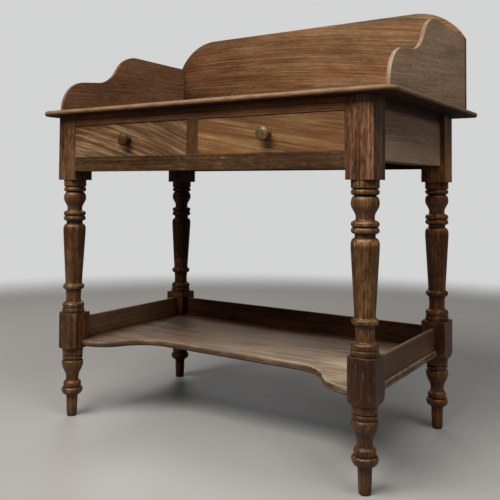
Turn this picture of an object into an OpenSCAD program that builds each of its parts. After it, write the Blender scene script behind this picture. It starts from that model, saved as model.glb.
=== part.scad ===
// Washstand with a shaped gallery, two drawers, four turned legs and a low shelf.
// X runs along the front, the front faces -Y and Z is up. The origin lies on the floor
// under the middle of the top board.

/* [Top board] */
// Height of the top surface above the floor
table_h = 733; // [700:1:800]
// Width of the top board
top_w = 906; // [860:1:1000]
// Depth of the top board
top_d = 540; // [520:1:600]
// Thickness of the top board, rounded along the front and both ends
top_t = 12.5; // [11:0.5:20]
// Radius of the front corners of the top board, seen from above
top_corner_r = 27; // [18:1:40]
// Overhang of the top past the legs at each end
end_overhang = 45.5; // [36:0.5:60]
// Overhang of the top past the front legs
front_overhang = 22; // [22:0.5:30]
// Overhang of the top past the back legs, which clears a skirting board
back_overhang = 51; // [30:0.5:70]

/* [Gallery] */
// Thickness of the two end boards of the gallery
gallery_t = 8; // [7:0.5:14]
// Thickness of the back board of the gallery
back_t = 14; // [11:0.5:18]
// Height of the end boards above the top
gallery_h = 177; // [165:1:200]
// Height at which the front lobe of the end boards runs into the shoulder behind it
lobe_h = 83.5; // [80:0.5:100]
// Radius of the front lobe of the end boards
lobe_r = 78; // [60:1:80]
// Length of the nearly level shoulder behind the front lobe
lobe_flat = 52; // [30:0.5:60]
// Rise of that shoulder towards the back
lobe_rise = 6; // [0:0.5:8]
// Steepest slope of the sweep between the lobe and the level top, in degrees
sweep_slope = 60; // [50:1:65]
// Height of the back board above the top
back_h = 251; // [235:1:280]
// Radius of the rounded ends of the back board
back_r = 140; // [130:1:170]
// Distance of the gallery ends from the ends of the top board
gallery_end_inset = 23; // [16:0.5:34]
// Distance of the gallery ends from the front edge of the top board
gallery_front_inset = 44; // [36:0.5:60]
// Distance of the back board from the back edge of the top board
gallery_back_inset = 8; // [0:0.5:12]

/* [Front and drawers] */
// Height of the rail above the drawers
top_rail_h = 27; // [22:0.5:34]
// Height of the drawer openings
opening_h = 74.5; // [70:0.5:90]
// Height of the rail below the drawers
bottom_rail_h = 32.5; // [28:0.5:40]
// Depth of both front rails and of the divider, from front to back
rail_d = 45; // [40:0.5:50]
// Width of the divider between the drawers
divider_w = 28; // [24:0.5:36]
// Thickness of the drawer fronts
front_t = 20; // [18:0.5:24]
// Thickness of the drawer sides
side_t = 10; // [8:0.5:12]
// Height of the drawer sides
side_h = 70; // [64:0.5:70]
// Thickness of the drawer backs
drawer_back_t = 9; // [7:0.5:12]
// Thickness of the drawer bottoms
bottom_t = 6; // [5:0.5:8]
// Height of the groove for the drawer bottom above the lower edge
groove_z = 8; // [7:0.5:10]
// Depth of the groove for the drawer bottom
groove_depth = 5; // [3:0.5:6]
// Space between the back of a drawer and the back apron
drawer_back_space = 15; // [8:0.5:30]
// Wood left in front of the dovetails in a drawer front
lap_t = 8; // [6:0.5:10]
// Number of dovetails at each end of a drawer front
tails = 3; // [2:1:4]
// Diameter of the knobs
knob_d = 30; // [26:0.5:34]
// Distance that the knobs stand out from the drawer fronts
knob_out = 21; // [19:0.5:22]
// Diameter of the knob tenons, glued into the drawer fronts
knob_tenon_d = 10; // [8:0.5:12]

/* [Aprons and inner strips] */
// Thickness of the side and back aprons
apron_t = 20; // [18:0.5:24]
// Height of the side aprons
apron_h = 117.5; // [106:0.5:130]
// Height of the back apron
back_apron_h = 123.5; // [106:0.5:130]
// Distance of the side aprons from the outer faces of the legs
apron_inset = 9.5; // [6:0.5:12]
// Distance of the back apron from the back faces of the legs
back_apron_inset = 4; // [2:0.5:8]
// Thickness of the runners under the drawers
runner_t = 15; // [12:0.5:18]
// Width of the runner under a drawer side
runner_w = 17; // [14:0.5:24]
// Height of the guides beside the drawers
guide_h = 20; // [14:0.5:26]
// Height of the drawer stops on the bottom rail
stop_h = 5.5; // [4:0.5:6]
// Side of the triangular glue blocks behind the back apron's top edge
glue_block = 22; // [16:0.5:24]

/* [Legs] */
// Side of the square blocks of the legs
leg_s = 55; // [52:0.5:62]
// Length of the top block below the bottom rail
block_drop = 20.5; // [16:0.5:30]
// Height of the lower edge of the low block above the floor
low_block_z = 162.5; // [158:0.5:166]
// Height of the low block
low_block_h = 84.5; // [80:0.5:94]
// Chamfer on the two front corners of the front legs' low blocks
block_chamfer = 9.5; // [5:0.5:12]
// Radius that is lost from the half block to the largest turned ring
ring_inset = 1.2; // [0.8:0.1:2]
// Radius of the waist under the ball
waist_r = 17.4; // [16:0.2:19]
// Radius of the shaft at its thin lower end
shaft_r = 19.5; // [18:0.2:22]
// Radius of the short stem between the collar and the low block
stem_r = 17.5; // [16:0.2:19]
// Radius of the waist above the foot rings
foot_waist_r = 14.8; // [13:0.2:17]
// Radius of the peg foot at its top
peg_r = 13.8; // [12.6:0.2:14.4]
// Radius of the peg foot at the floor, inside its chamfer
peg_tip_r = 10.5; // [9:0.2:11.4]

/* [Low shelf] */
// Height of the shelf's upper surface above the floor
shelf_h = 183; // [180:1:187]
// Thickness of the shelf, rounded along the front and both ends
shelf_t = 15; // [12:0.5:16]
// Distance of the shelf's front edge beside the legs from the legs' front faces
shelf_front_inset = 27; // [24:0.5:36]
// Depth of the long hollow in the shelf's front edge
shelf_hollow = 103; // [90:1:115]
// Steepest slope of the two sweeps in the shelf's front edge, in degrees
shelf_slope = 62; // [55:1:66]
// Height of the three rails that stand on the shelf
shelf_rail_h = 48.5; // [40:1:52]
// Thickness of the three rails that stand on the shelf
shelf_rail_t = 8; // [7:0.5:13]
// Distance of the side rails of the shelf from the outer faces of the legs
shelf_rail_inset = 24.5; // [20:0.5:28]
// Distance of the back rail of the shelf from the back faces of the legs
shelf_back_inset = 27.5; // [22:0.5:30]
// Overhang of the shelf past its side and back rails
shelf_overhang = 8; // [6:0.5:12]

/* [Joints and clearances] */
// Length of the tenons on the aprons and rails
tenon_l = 20; // [14:0.5:22]
// Length of the tenons on the shelf rails
shelf_tenon_l = 16; // [12:0.5:18]
// Thickness of the tenons on the aprons
tenon_t = 8; // [6:0.5:9]
// Clearance around a tenon or dovetail, on each side
fit_gap = 0.15; // [0.1:0.05:0.3]
// Space left at the end of a tenon
end_gap = 1; // [0.5:0.5:2]
// Clearance between a piece and the leg that it is notched around
notch_gap = 0.3; // [0.2:0.1:0.5]
// Running clearance below a drawer
run_gap = 0.3; // [0.2:0.1:0.5]
// Clearance between a drawer and each side of its opening
drawer_gap = 0.8; // [0.5:0.1:1.2]
// Clearance above a drawer front
head_gap = 1.5; // [1:0.1:2.5]
// Diameter of the wood screws
screw_d = 4; // [3.5:0.1:5]
// Clearance around a screw, on each side
screw_gap = 0.1; // [0.05:0.05:0.2]
// Depth that the screws reach into the second piece
screw_bite = 8; // [7:0.5:9]

/* [Hidden] */
$fn = 64;

// Colours of the wood, from the photographed finish
leg_colour = [0.33, 0.20, 0.12];
board_colour = [0.38, 0.24, 0.14];
grey_wood = [0.36, 0.27, 0.20];
front_wood = [0.50, 0.34, 0.20];
plain_wood = [0.60, 0.47, 0.32];
steel = [0.55, 0.55, 0.56];

// Levels
under_z = table_h - top_t;
opening_top = under_z - top_rail_h;
opening_z = opening_top - opening_h;
rail_z = opening_z - bottom_rail_h;
block_z = rail_z - block_drop;
low_block_top = low_block_z + low_block_h;
shelf_z = shelf_h - shelf_t;

// Leg positions
leg_x = top_w / 2 - end_overhang - leg_s / 2;
front_face = -top_d / 2 + front_overhang;
leg_front_y = front_face + leg_s / 2;
back_face = top_d / 2 - back_overhang;
leg_back_y = back_face - leg_s / 2;
inner_x = leg_x - leg_s / 2;
inner_front_y = leg_front_y + leg_s / 2;
inner_back_y = leg_back_y - leg_s / 2;
rail_back_y = front_face + rail_d;

// Shoulders left on each side of the tenons
rail_tail_w = 22;
rail_shoulder = 4;
apron_low_shoulder = 10;
apron_top_shoulder = 14;
shelf_rail_shoulder = 6;
shelf_rail_cheek = 1.5;

// Aprons
apron_x = leg_x + leg_s / 2 - apron_inset;
apron_in_x = apron_x - apron_t;
back_apron_y = back_face - back_apron_inset - apron_t;

// Drawers, each centred in its opening
opening_w = inner_x - divider_w / 2;
drawer_x = (inner_x + divider_w / 2) / 2;
drawer_w = opening_w - 2 * drawer_gap;
drawer_z = opening_z + run_gap;
front_h = opening_h - run_gap - head_gap;
drawer_end_y = back_apron_y - drawer_back_space;
side_tail = 3;
drawer_back_y = drawer_end_y - side_tail - drawer_back_t;
drawer_back_drop = 4;
dado = 3;
tail_slope = 3;
stop_w = 24;
stop_d = 10;

// Gallery
gallery_x = top_w / 2 - gallery_end_inset;
gallery_y = -top_d / 2 + gallery_front_inset;
back_y = top_d / 2 - gallery_back_inset - back_t;

// Shelf
shelf_rail_x = leg_x + leg_s / 2 - shelf_rail_inset;
shelf_end_x = shelf_rail_x + shelf_overhang;
shelf_back_rail_y = back_face - shelf_back_inset - shelf_rail_t;
shelf_back_y = shelf_back_rail_y + shelf_rail_t + shelf_overhang;
shelf_lip_y = front_face + shelf_front_inset;
shelf_hollow_y = shelf_lip_y + shelf_hollow;
shelf_sweep_w = shelf_hollow / tan(shelf_slope / 2);
shelf_sweep_r = shelf_sweep_w / 2 / sin(shelf_slope);
shelf_corner_x = inner_x - notch_gap;
shelf_lip_w = 2.5;
shelf_straight_x = shelf_corner_x - shelf_lip_w - shelf_sweep_w;

// Turned rings of the legs
ring_r = leg_s / 2 - ring_inset;

// Glue blocks and wood screws along the frame
block_l = 60;
pitch_x = 120;
kicker_screw_y = [-90, 110];
centre_screw_y = [-60, 80];
gallery_screw_y = [-150, 20, 200];
gallery_screw_x = [-330, -110, 110, 330];
shelf_screw_y = [-120, 90];

// A quarter of an ellipse from p to q that starts level and ends upright
function level_start(p, q, n = 7) =
    [for (i = [0:n]) [p[0] + (q[0] - p[0]) * sin(90 * i / n), p[1] + (q[1] - p[1]) * (1 - cos(90 * i / n))]];

// A quarter of an ellipse from p to q that starts upright and ends level
function level_end(p, q, n = 7) =
    [for (i = [0:n]) [p[0] + (q[0] - p[0]) * (1 - cos(90 * i / n)), p[1] + (q[1] - p[1]) * sin(90 * i / n)]];

// An ogee from p to q that is upright at both ends
function ogee(p, q, n = 12) =
    [for (i = [0:n]) [p[0] + (q[0] - p[0]) * (1 - cos(180 * i / n)) / 2, p[1] + (q[1] - p[1]) * i / n]];

// A ring between two grooves: lower groove p, widest point m, upper groove q
function ring(p, m, q) = concat(level_start(p, m), level_end(m, q));

// Turned foot: chamfered peg, two rings, waist, bulb and neck, from the floor up to the low block.
// Its heights are in hundredths of the low block's height above the floor.
function foot_profile(top) = let (h = top / 100) concat(
    [[0, 0], [peg_tip_r, 0], [peg_r - 1.8, 2.5 * h], [peg_r - 0.6, 25 * h], [peg_r, 31.2 * h]],
    ring([peg_r + 0.6, 31.6 * h], [ring_r - 1.5, 38.8 * h], [foot_waist_r + 4.4, 42.8 * h]),
    ring([foot_waist_r + 4.4, 43.2 * h], [foot_waist_r + 6, 47 * h], [foot_waist_r + 2.4, 51.2 * h]),
    level_start([foot_waist_r + 2.2, 51.5 * h], [foot_waist_r, 54.4 * h], 4),
    ogee([foot_waist_r, 56.9 * h], [ring_r - 1.1, 77.5 * h]),
    level_end([ring_r - 1.1, 78.1 * h], [ring_r - 4.8, 82.2 * h]),
    ring([ring_r - 5, 83.8 * h], [ring_r - 2.6, 86.6 * h], [ring_r - 5, 88.8 * h]),
    [[ring_r - 2.4, 90 * h], [ring_r - 1.8, top - 3], [ring_r - 1.8, top + 1], [0, top + 1]]
);

// Turned part between the blocks, from the low block's top b to the top block's lower face t
function shaft_profile(b, t) = concat(
    [[0, b - 1], [ring_r - 0.6, b - 1], [ring_r - 0.6, b + 1]],
    ring([ring_r - 0.5, b + 1.2], [ring_r - 0.2, b + 5], [ring_r - 2.3, b + 11]),
    ring([ring_r - 2.2, b + 12], [ring_r - 0.6, b + 18], [stem_r + 1.6, b + 25]),
    level_start([stem_r + 1.4, b + 25.4], [stem_r, b + 33], 4),
    ogee([stem_r, b + 40], [stem_r + 0.9, b + 54], 4),
    ring([stem_r + 1.4, b + 55], [ring_r - 1.1, b + 61.5], [shaft_r + 2.6, b + 67]),
    level_start([shaft_r + 2.2, b + 67.4], [shaft_r, b + 73], 4),
    [[ring_r - 0.1, t - 128]],
    level_start([ring_r - 0.05, t - 127], [ring_r + 0.1, t - 120], 3),
    level_end([ring_r + 0.1, t - 118], [waist_r + 1.8, t - 106]),
    [[waist_r + 1.8, t - 99]],
    ring([waist_r + 2.8, t - 98.5], [ring_r - 0.2, t - 92.5], [ring_r - 4.6, t - 86.8]),
    ring([ring_r - 4.6, t - 86.6], [ring_r - 0.2, t - 81], [waist_r + 2.2, t - 74.5]),
    level_start([waist_r + 1.6, t - 74.3], [waist_r, t - 69], 4),
    ogee([waist_r, t - 68], [ring_r, t - 44]),
    level_end([ring_r, t - 43], [ring_r - 6.3, t - 29.5]),
    ring([ring_r - 5.8, t - 28.5], [ring_r, t - 22.5], [ring_r - 4.6, t - 16.8]),
    level_start([ring_r - 4.6, t - 16.6], [ring_r, t - 13.5], 4),
    [[ring_r, t + 1], [0, t + 1]]
);

// Turned bevel that takes the lower corners off the low block
function pommel_profile(z0, z1) = concat(
    [[0, z0 - 1], [leg_s / 2 - 1, z0 - 1]],
    level_start([leg_s / 2 - 1, z0], [leg_s * 0.72, z0 + 17], 5),
    [[leg_s * 0.72, z1 + 1], [0, z1 + 1]]
);

// Square block, with both front corners chamfered when c is not zero
module block(z0, z1, c = 0) {
    h = leg_s / 2;
    translate([0, 0, z0])
        linear_extrude(z1 - z0)
            polygon([[-h, h], [-h, -h + c], [-h + c, -h], [h - c, -h], [h, -h + c], [h, h]]);
}

// One leg about its own axis
module turned_leg(c) {
    block(block_z, under_z);
    rotate_extrude() polygon(shaft_profile(low_block_top, block_z));
    intersection() {
        block(low_block_z, low_block_top, c);
        rotate_extrude() polygon(pommel_profile(low_block_z, low_block_top));
    }
    rotate_extrude() polygon(foot_profile(low_block_z));
}

// Tenons, shared by the pieces and, with gap, by the mortises in the legs

// Dovetail of the top rail at the left end
module top_rail_tail(gap) {
    l = tenon_l + (gap > 0 ? end_gap : 0);
    a = rail_tail_w / 2 + gap;
    b = a + tail_slope;
    translate([-inner_x, front_face + rail_d / 2, under_z - top_rail_h / 2 - gap])
        linear_extrude(top_rail_h / 2 + 2 * gap)
            polygon([[1, -a], [0, -a], [-l, -b], [-l, b], [0, a], [1, a]]);
}

// Twin tenons of the bottom rail at the left end
module bottom_rail_tenons(gap) {
    l = tenon_l + (gap > 0 ? end_gap : 0);
    for (y = [rail_d * 0.27, rail_d * 0.73])
        translate([-inner_x - l, front_face + y - tenon_t / 2 - gap, rail_z + rail_shoulder - gap])
            cube([l + 1, tenon_t + 2 * gap, bottom_rail_h - 2 * rail_shoulder + 2 * gap]);
}

// Tenon of the left apron, at its front or back end
module apron_tenon(gap, back) {
    l = tenon_l + (gap > 0 ? end_gap : 0);
    y = back ? inner_back_y - 1 : inner_front_y - l;
    h = apron_h - apron_low_shoulder - apron_top_shoulder;
    translate([-apron_x + (apron_t - tenon_t) / 2 - gap, y, under_z - apron_h + apron_low_shoulder - gap])
        cube([tenon_t + 2 * gap, l + 1, h + 2 * gap]);
}

// Tenon of the back apron at its left end
module back_apron_tenon(gap) {
    l = tenon_l + (gap > 0 ? end_gap : 0);
    y = back_apron_y + (apron_t - tenon_t) / 2;
    h = back_apron_h - apron_low_shoulder - apron_top_shoulder;
    translate([-inner_x - l, y - gap, under_z - back_apron_h + apron_low_shoulder - gap])
        cube([l + 1, tenon_t + 2 * gap, h + 2 * gap]);
}

// Tenon of the left shelf rail, at its front or back end
module shelf_side_tenon(gap, back) {
    l = shelf_tenon_l + (gap > 0 ? end_gap : 0);
    t = shelf_rail_t - 2 * shelf_rail_cheek;
    y = back ? inner_back_y - 1 : inner_front_y - l;
    translate([-shelf_rail_x + shelf_rail_cheek - gap, y, shelf_h + shelf_rail_shoulder - gap])
        cube([t + 2 * gap, l + 1, shelf_rail_h - 2 * shelf_rail_shoulder + 2 * gap]);
}

// Tenon of the back shelf rail at its left end
module shelf_back_tenon(gap) {
    l = shelf_tenon_l + (gap > 0 ? end_gap : 0);
    t = shelf_rail_t - 2 * shelf_rail_cheek;
    translate([-inner_x - l, shelf_back_rail_y + shelf_rail_cheek - gap, shelf_h + shelf_rail_shoulder - gap])
        cube([l + 1, t + 2 * gap, shelf_rail_h - 2 * shelf_rail_shoulder + 2 * gap]);
}

module leg_front_left() {
    color(leg_colour)
        difference() {
            translate([-leg_x, leg_front_y, 0]) turned_leg(block_chamfer);
            top_rail_tail(fit_gap);
            bottom_rail_tenons(fit_gap);
            apron_tenon(fit_gap, false);
            shelf_side_tenon(fit_gap, false);
        }
}

module leg_back_left() {
    color(leg_colour)
        difference() {
            translate([-leg_x, leg_back_y, 0]) turned_leg(0);
            apron_tenon(fit_gap, true);
            back_apron_tenon(fit_gap);
            shelf_side_tenon(fit_gap, true);
            shelf_back_tenon(fit_gap);
        }
}

module leg_front_right() {
    mirror([1, 0, 0]) leg_front_left();
}

module leg_back_right() {
    mirror([1, 0, 0]) leg_back_left();
}

// Rounded edges: a path is a list of [x, y, nx, ny], where (x, y) lies on the square core
// and (nx, ny) points outwards. The nose is half round, as wide as the board is thick.

nose_steps = 10;

// Points of a path around an arc, from angle a0 to a1 about centre c; side is 1 outside, -1 inside
function arc_path(c, r, a0, a1, side, n) =
    [for (i = [0:n]) let (a = a0 + (a1 - a0) * i / n) [c[0] + r * cos(a), c[1] + r * sin(a), side * cos(a), side * sin(a)]];

module nose(path, z, t) {
    m = nose_steps;
    k = len(path);
    pts = [for (p = path, j = [0:m]) let (a = -90 + 180 * j / m)
        [p[0] + p[2] * cos(a) * t / 2, p[1] + p[3] * cos(a) * t / 2, z + t / 2 + sin(a) * t / 2]];
    w = m + 1;
    faces = concat(
        [for (i = [0:k - 2], j = [0:m - 1]) [i * w + j, (i + 1) * w + j, (i + 1) * w + j + 1, i * w + j + 1]],
        [for (i = [0:k - 2]) [i * w + m, (i + 1) * w + m, (i + 1) * w, i * w]],
        [[for (j = [0:m]) m - j]],
        [[for (j = [0:m]) (k - 1) * w + j]]
    );
    polyhedron(points = pts, faces = faces, convexity = 6);
}

// Outline of the top board's square core, from the back left corner round the front
top_path = let (r = top_corner_r - top_t / 2, x = top_w / 2 - top_corner_r, y = top_d / 2 - top_corner_r)
    concat(
        [[-top_w / 2 + top_t / 2, top_d / 2, -1, 0]],
        arc_path([-x, -y], r, 180, 270, 1, 8),
        arc_path([x, -y], r, 270, 360, 1, 8),
        [[top_w / 2 - top_t / 2, top_d / 2, 1, 0]]
    );

module top_board() {
    color(board_colour)
        difference() {
            union() {
                translate([0, 0, under_z]) linear_extrude(top_t) polygon([for (p = top_path) [p[0], p[1]]]);
                nose(top_path, under_z, top_t);
            }
            screw_holes(top_screw_points, opening_top, top_rail_h);
            screw_holes(gallery_screw_points, under_z, top_t);
        }
}

// Outline of a gallery end board seen from its side, front on the left: [depth, height] pairs
function gallery_outline() =
    let (
        start = atan(lobe_rise / lobe_flat),
        lobe_z = lobe_h - lobe_r * cos(start),
        y1 = lobe_r - lobe_r * sin(start) + lobe_flat,
        z1 = lobe_h + lobe_rise,
        r = (gallery_h - z1) / (1 + cos(start) - 2 * cos(sweep_slope)),
        y2 = y1 + r * (2 * sin(sweep_slope) - sin(start))
    )
    concat(
        [[0, 0]],
        [for (i = [0:12]) let (a = 180 - (90 - start) * i / 12) [lobe_r + lobe_r * cos(a), lobe_z + lobe_r * sin(a)]],
        [for (i = [0:10]) let (a = start + (sweep_slope - start) * i / 10)
            [y1 + r * (sin(a) - sin(start)), z1 + r * (cos(start) - cos(a))]],
        [for (i = [1:10]) let (a = sweep_slope * (1 - i / 10)) [y2 - r * sin(a), gallery_h - r + r * cos(a)]],
        [[back_y - gallery_y, gallery_h], [back_y - gallery_y, 0]]
    );

module gallery_left() {
    color(board_colour)
        difference() {
            translate([-gallery_x, gallery_y, table_h])
                rotate([90, 0, 90]) linear_extrude(gallery_t) polygon(gallery_outline());
            screw_holes(gallery_screw_points, under_z, top_t);
        }
}

module gallery_right() {
    color(grey_wood) mirror([1, 0, 0]) gallery_left();
}

// Back board: level top with an arc down to the end boards at each end
module gallery_back() {
    end_slope = acos(1 - (back_h - gallery_h) / back_r);
    run = back_r * sin(end_slope);
    right = [for (i = [0:12]) let (a = 90 - end_slope * i / 12)
        [gallery_x - run + back_r * cos(a), back_h - back_r + back_r * sin(a)]];
    left = [for (i = [0:12]) [-right[12 - i][0], right[12 - i][1]]];
    color(board_colour)
        difference() {
            translate([0, back_y + back_t, table_h])
                rotate([90, 0, 0])
                    linear_extrude(back_t)
                        polygon(concat([[gallery_x, 0], [-gallery_x, 0]], left, right));
            screw_holes(gallery_screw_points, under_z, top_t);
        }
}

module front_top_rail() {
    color(board_colour)
        difference() {
            union() {
                translate([-inner_x, front_face, opening_top]) cube([2 * inner_x, rail_d, top_rail_h]);
                top_rail_tail(0);
                mirror([1, 0, 0]) top_rail_tail(0);
            }
            screw_holes(top_screw_points, opening_top, top_rail_h);
        }
}

module front_bottom_rail() {
    color(grey_wood) {
        translate([-inner_x, front_face, rail_z]) cube([2 * inner_x, rail_d, bottom_rail_h]);
        bottom_rail_tenons(0);
        mirror([1, 0, 0]) bottom_rail_tenons(0);
    }
}

module drawer_divider() {
    color(board_colour)
        translate([-divider_w / 2, front_face, opening_z]) cube([divider_w, rail_d, opening_h]);
}

module apron_left() {
    color(grey_wood) {
        translate([-apron_x, inner_front_y, under_z - apron_h])
            cube([apron_t, inner_back_y - inner_front_y, apron_h]);
        apron_tenon(0, false);
        apron_tenon(0, true);
    }
}

module apron_right() {
    mirror([1, 0, 0]) apron_left();
}

module apron_back() {
    color(plain_wood) {
        translate([-inner_x, back_apron_y, under_z - back_apron_h])
            cube([2 * inner_x, apron_t, back_apron_h]);
        back_apron_tenon(0);
        mirror([1, 0, 0]) back_apron_tenon(0);
    }
}

// Strip along the left apron, notched around both legs: full length beside the drawer side
module notched_strip(w) {
    linear_extrude(w)
        polygon([
            [-inner_x + notch_gap, rail_back_y], [-inner_x + runner_w, rail_back_y],
            [-inner_x + runner_w, back_apron_y], [-inner_x + notch_gap, back_apron_y],
            [-inner_x + notch_gap, inner_back_y - notch_gap], [-apron_in_x, inner_back_y - notch_gap],
            [-apron_in_x, inner_front_y + notch_gap], [-inner_x + notch_gap, inner_front_y + notch_gap]
        ]);
}

module runner_left() {
    color(plain_wood) translate([0, 0, opening_z - runner_t]) notched_strip(runner_t);
}

module runner_right() {
    mirror([1, 0, 0]) runner_left();
}

module runner_centre() {
    w = divider_w + 2 * runner_w;
    color(plain_wood)
        translate([-w / 2, rail_back_y, opening_z - runner_t])
            cube([w, back_apron_y - rail_back_y, runner_t]);
}

module guide_left() {
    color(plain_wood)
        translate([-apron_in_x, inner_front_y + notch_gap, opening_z])
            cube([apron_in_x - inner_x, inner_back_y - inner_front_y - 2 * notch_gap, guide_h]);
}

module guide_right() {
    mirror([1, 0, 0]) guide_left();
}

module guide_centre() {
    color(plain_wood)
        translate([-divider_w / 2, rail_back_y, opening_z])
            cube([divider_w, back_apron_y - rail_back_y, guide_h]);
}

module kicker_left() {
    color(plain_wood)
        difference() {
            translate([0, 0, opening_top]) notched_strip(top_rail_h);
            screw_holes(top_screw_points, opening_top, top_rail_h);
        }
}

module kicker_right() {
    mirror([1, 0, 0]) kicker_left();
}

module kicker_centre() {
    w = divider_w + 2 * runner_w;
    color(plain_wood)
        difference() {
            translate([-w / 2, rail_back_y, opening_top])
                cube([w, back_apron_y - rail_back_y, top_rail_h]);
            screw_holes(top_screw_points, opening_top, top_rail_h);
        }
}

// Stops on the bottom rail, which the closed drawer fronts meet
module drawer_stops() {
    color(plain_wood)
        for (s = [-1, 1], k = [-1, 1])
            translate([s * drawer_x + k * drawer_w / 4 - stop_w / 2, front_face + front_t + run_gap, opening_z])
                cube([stop_w, stop_d, stop_h]);
}

// Triangular blocks glued in the corner of the top board and the back apron
module glue_blocks() {
    color(plain_wood)
        for (x = [-2, -1, 1, 2] * pitch_x)
            translate([x - block_l / 2, back_apron_y, under_z])
                rotate([90, 0, 90])
                    linear_extrude(block_l) polygon([[0, 0], [-glue_block, 0], [0, -glue_block]]);
}

// Right half of the shelf's front edge from the middle outwards, for a core set in by t / 2
function shelf_front_path(t) =
    let (r = shelf_sweep_r, x0 = shelf_straight_x, x1 = shelf_straight_x + shelf_sweep_w, n = 10)
    concat(
        arc_path([x0, shelf_hollow_y - r], r + t / 2, 90, 90 - shelf_slope, -1, n),
        arc_path([x1, shelf_lip_y + r], r - t / 2, 270 - shelf_slope, 270, 1, n),
        [[shelf_corner_x, shelf_lip_y + t / 2, 0, -1]]
    );

shelf_right_path = shelf_front_path(shelf_t);
shelf_path = concat(
    [for (i = [len(shelf_right_path) - 1:-1:0]) let (p = shelf_right_path[i]) [-p[0], p[1], -p[2], p[3]]],
    shelf_right_path
);

module shelf() {
    h = shelf_t / 2;
    y0 = inner_front_y + notch_gap;
    y1 = inner_back_y - notch_gap;
    end_right = [[shelf_end_x - h, y0, 1, 0], [shelf_end_x - h, y1, 1, 0]];
    end_left = [[-shelf_end_x + h, y1, -1, 0], [-shelf_end_x + h, y0, -1, 0]];
    outline = concat(
        [for (p = shelf_path) [p[0], p[1]]],
        [[shelf_corner_x, y0], [shelf_end_x - h, y0], [shelf_end_x - h, y1], [shelf_corner_x, y1]],
        [[shelf_corner_x, shelf_back_y], [-shelf_corner_x, shelf_back_y]],
        [[-shelf_corner_x, y1], [-shelf_end_x + h, y1], [-shelf_end_x + h, y0], [-shelf_corner_x, y0]]
    );
    color(board_colour)
        difference() {
            union() {
                translate([0, 0, shelf_z]) linear_extrude(shelf_t) polygon(outline);
                nose(shelf_path, shelf_z, shelf_t);
                nose(end_right, shelf_z, shelf_t);
                nose(end_left, shelf_z, shelf_t);
            }
            screw_holes(shelf_screw_points, shelf_z, shelf_t);
        }
}

module shelf_rail_left() {
    color(grey_wood)
        difference() {
            union() {
                translate([-shelf_rail_x, inner_front_y, shelf_h])
                    cube([shelf_rail_t, inner_back_y - inner_front_y, shelf_rail_h]);
                shelf_side_tenon(0, false);
                shelf_side_tenon(0, true);
            }
            screw_holes(shelf_screw_points, shelf_z, shelf_t);
        }
}

module shelf_rail_right() {
    mirror([1, 0, 0]) shelf_rail_left();
}

module shelf_rail_back() {
    color(board_colour)
        difference() {
            union() {
                translate([-inner_x, shelf_back_rail_y, shelf_h]) cube([2 * inner_x, shelf_rail_t, shelf_rail_h]);
                shelf_back_tenon(0);
                mirror([1, 0, 0]) shelf_back_tenon(0);
            }
            screw_holes(shelf_screw_points, shelf_z, shelf_t);
        }
}

// Wood screws, driven upwards from z through a first piece of thickness t
top_screw_points = concat(
    [for (x = [-2, -1, 1, 2] * pitch_x) [x, front_face + rail_d / 2]],
    [for (s = [-1, 1], y = kicker_screw_y) [s * (inner_x - runner_w / 2), y]],
    [for (y = centre_screw_y) [0, y]]
);
gallery_screw_points = concat(
    [for (s = [-1, 1], y = gallery_screw_y) [s * (gallery_x - gallery_t / 2), y]],
    [for (x = gallery_screw_x) [x, back_y + back_t / 2]]
);
shelf_screw_points = concat(
    [for (s = [-1, 1], y = shelf_screw_y) [s * (shelf_rail_x - shelf_rail_t / 2), y]],
    [for (x = [-2, 0, 2] * pitch_x) [x, shelf_back_rail_y + shelf_rail_t / 2]]
);

// Profile of a countersunk screw with its head's face at height 0 and its thread upwards
function screw_profile(l, gap) = [
    [0, 0], [screw_d + gap, 0], [screw_d / 2 + gap, screw_d / 2],
    [screw_d / 2 + gap, l], [0, l]
];

module screws(points, z, t) {
    color(steel)
        for (p = points)
            translate([p[0], p[1], z]) rotate_extrude() polygon(screw_profile(t + screw_bite, 0));
}

module screw_holes(points, z, t) {
    for (p = points)
        translate([p[0], p[1], z - 0.01])
            rotate_extrude() polygon(screw_profile(t + screw_bite + end_gap, screw_gap));
}

module top_screws() {
    screws(top_screw_points, opening_top, top_rail_h);
}

module gallery_screws() {
    screws(gallery_screw_points, under_z, top_t);
}

module shelf_screws() {
    screws(shelf_screw_points, shelf_z, shelf_t);
}

// Drawers, modelled about their own middle in X and moved to their opening

// Front edge of a drawer side from the top down, with the tails, as [depth, height] points
function tail_edge(gap) =
    let (pitch = side_h / tails, half = pitch * 0.33)
    [for (i = [tails - 1:-1:0]) let (c = pitch * (i + 0.5)) each [
        [front_t, c + half - tail_slope + gap], [lap_t - gap, c + half + gap],
        [lap_t - gap, c - half - gap], [front_t, c - half + tail_slope - gap]
    ]];

// Places a [depth, height] outline at x on the side of a drawer, w thick
module side_outline(x, w) {
    translate([x, front_face, drawer_z]) rotate([90, 0, 90]) linear_extrude(w) children();
}

module drawer_front() {
    color(front_wood)
        difference() {
            translate([-drawer_w / 2, front_face, drawer_z]) cube([drawer_w, front_t, front_h]);
            for (s = [0, 1])
                mirror([s, 0, 0])
                    side_outline(-drawer_w / 2 - 1, side_t + fit_gap + 1)
                        polygon(concat([[front_t + 1, side_h]], tail_edge(fit_gap), [[front_t + 1, 0]]));
            translate([-drawer_w / 2 + side_t, front_face + front_t - groove_depth, drawer_z + groove_z])
                cube([drawer_w - 2 * side_t, groove_depth + 1, bottom_t]);
            translate([0, front_face - 1, drawer_z + front_h / 2])
                rotate([-90, 0, 0]) cylinder(d = knob_tenon_d + 2 * fit_gap, h = front_t + 2);
        }
}

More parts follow.
